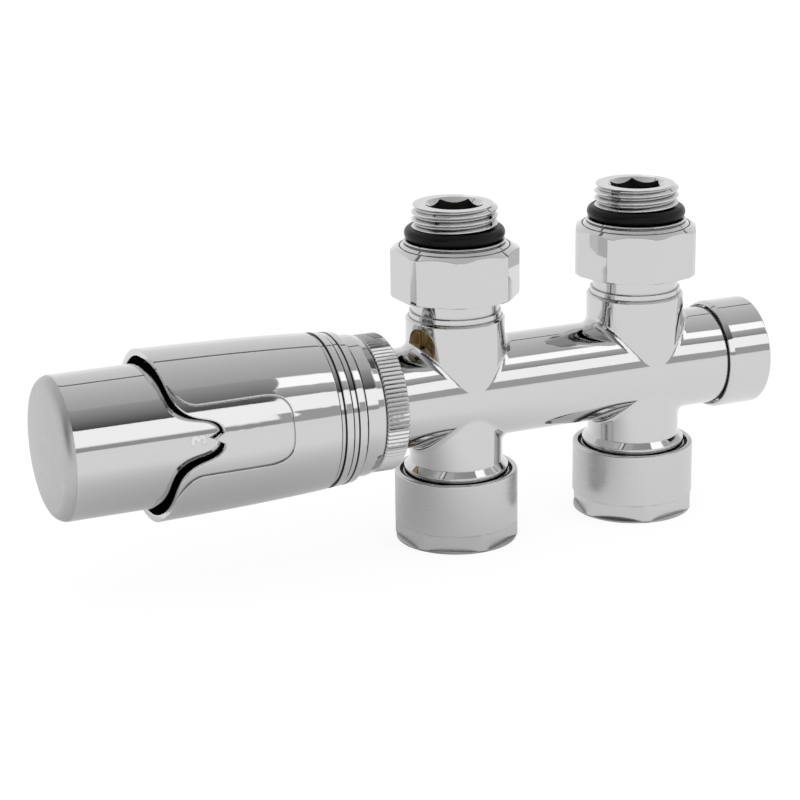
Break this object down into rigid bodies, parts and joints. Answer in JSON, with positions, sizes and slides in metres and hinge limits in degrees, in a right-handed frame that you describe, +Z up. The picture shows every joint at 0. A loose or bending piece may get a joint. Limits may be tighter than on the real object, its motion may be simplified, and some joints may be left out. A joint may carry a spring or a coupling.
{
  "type": "radiator valve multiblock",
  "caption": "Chrome twin-port radiator valve block with thermostatic head, lockshield under a cap, union nuts and nipples above and compression nuts below.",
  "frame": {"origin": "midway between the two pipe holes, on the plane of the compression nuts' lower faces", "axes": "+X along the body from the control head towards the lockshield cap, +Z up along the ports towards the nipples, -Y towards the pointer's side"},
  "size_m": [0.1877, 0.0402, 0.0845],
  "materials": {
    "chrome_brass": "polished plating",
    "chrome_plastic": "chrome-plated plastic",
    "bare_brass": "machined",
    "spring_steel": "drawn wire and turned stock",
    "black_rubber": "satin",
    "inner_plastic": "moulded",
    "capsule_metal": "drawn"
  },
  "bodies": {
    "valve": {"valve_body": "chrome_brass", "insert_bonnet": "bare_brass", "bonnet_seal": "black_rubber", "stem_seal": "black_rubber", "spring_seat": "bare_brass", "return_spring": "spring_steel", "nipple_left": "chrome_brass", "nipple_right": "chrome_brass", "nipple_ring_left": "black_rubber", "nipple_ring_right": "black_rubber", "nipple_clip_left": "spring_steel", "nipple_clip_right": "spring_steel", "nose_seal_left": "black_rubber", "nose_seal_right": "black_rubber", "olive_left": "bare_brass", "olive_right": "bare_brass", "pipe_seal_left": "black_rubber", "pipe_seal_right": "black_rubber", "lockshield_bush": "bare_brass", "bush_seal": "black_rubber", "head_base": "chrome_plastic", "head_sleeve": "chrome_plastic", "ring_nut_clip": "spring_steel", "drum_clip": "spring_steel"},
    "dial": {"dial_drum": "chrome_plastic"},
    "sensor": {"sensor_carrier": "inner_plastic", "overload_spring": "spring_steel", "sensor_capsule": "capsule_metal", "push_pin": "inner_plastic"},
    "stem": {"valve_stem": "spring_steel", "valve_disc": "black_rubber"},
    "ring_nut": {"head_ring_nut": "chrome_brass"},
    "union_left": {"union_nut_left": "chrome_brass"},
    "union_right": {"union_nut_right": "chrome_brass"},
    "compression_left": {"compression_nut_left": "chrome_brass"},
    "compression_right": {"compression_nut_right": "chrome_brass"},
    "cap": {"lockshield_cap": "chrome_brass"},
    "spindle": {"lockshield_spindle": "bare_brass", "spindle_seal": "black_rubber", "spindle_clip": "spring_steel"},
    "plug": {"lockshield_plug": "bare_brass", "plug_seal": "black_rubber"},
    "screw": {"side_screw": "bare_brass", "side_screw_seal": "black_rubber"}
  },
  "joints": [
    {"name": "dial_turn", "type": "hinge", "parent": "valve", "child": "dial", "pos_m": [-0.1, 0, 0.0375], "axis": [-1, 0, 0], "range_deg": [-180, 90]},
    {"name": "sensor_slide", "type": "slide", "parent": "valve", "child": "sensor", "axis": [-1, 0, 0], "range_m": [-0.00181, 0.00091]},
    {"name": "stem_slide", "type": "slide", "parent": "valve", "child": "stem", "axis": [-1, 0, 0], "range_m": [-0.00181, 0.00091], "deforming": ["return_spring"]},
    {"name": "ring_nut_turn", "type": "hinge", "parent": "valve", "child": "ring_nut", "pos_m": [-0.048, 0, 0.0375], "axis": [1, 0, 0], "continuous": true},
    {"name": "union_left_turn", "type": "hinge", "parent": "valve", "child": "union_left", "pos_m": [-0.025, 0, 0.0675], "axis": [0, 0, 1], "continuous": true},
    {"name": "union_right_turn", "type": "hinge", "parent": "valve", "child": "union_right", "pos_m": [0.025, 0, 0.0675], "axis": [0, 0, 1], "continuous": true},
    {"name": "compression_left_turn", "type": "hinge", "parent": "valve", "child": "compression_left", "pos_m": [-0.025, 0, 0.009], "axis": [0, 0, 1], "continuous": true},
    {"name": "compression_right_turn", "type": "hinge", "parent": "valve", "child": "compression_right", "pos_m": [0.025, 0, 0.009], "axis": [0, 0, 1], "continuous": true},
    {"name": "cap_slide", "type": "slide", "parent": "valve", "child": "cap", "axis": [1, 0, 0], "range_m": [0, 0.03]},
    {"name": "spindle_turn", "type": "hinge", "parent": "valve", "child": "spindle", "pos_m": [0.05, 0, 0.0375], "axis": [1, 0, 0], "range_deg": [-723, 723]},
    {"name": "plug_slide", "type": "slide", "parent": "valve", "child": "plug", "axis": [1, 0, 0], "range_m": [-0.002, 0.002]},
    {"name": "screw_turn", "type": "hinge", "parent": "valve", "child": "screw", "pos_m": [-0.025, 0, 0.051], "axis": [-0.9397, -0.342, 0], "continuous": true}
  ],
  "couplings": [
    {"joint": "sensor_slide", "follows": "dial_turn", "m_per_rad": 0.00057296},
    {"joint": "stem_slide", "follows": "dial_turn", "m_per_rad": 0.00057296},
    {"joint": "spindle_turn", "follows": "plug_slide", "rad_per_m": 6283.2}
  ]
}
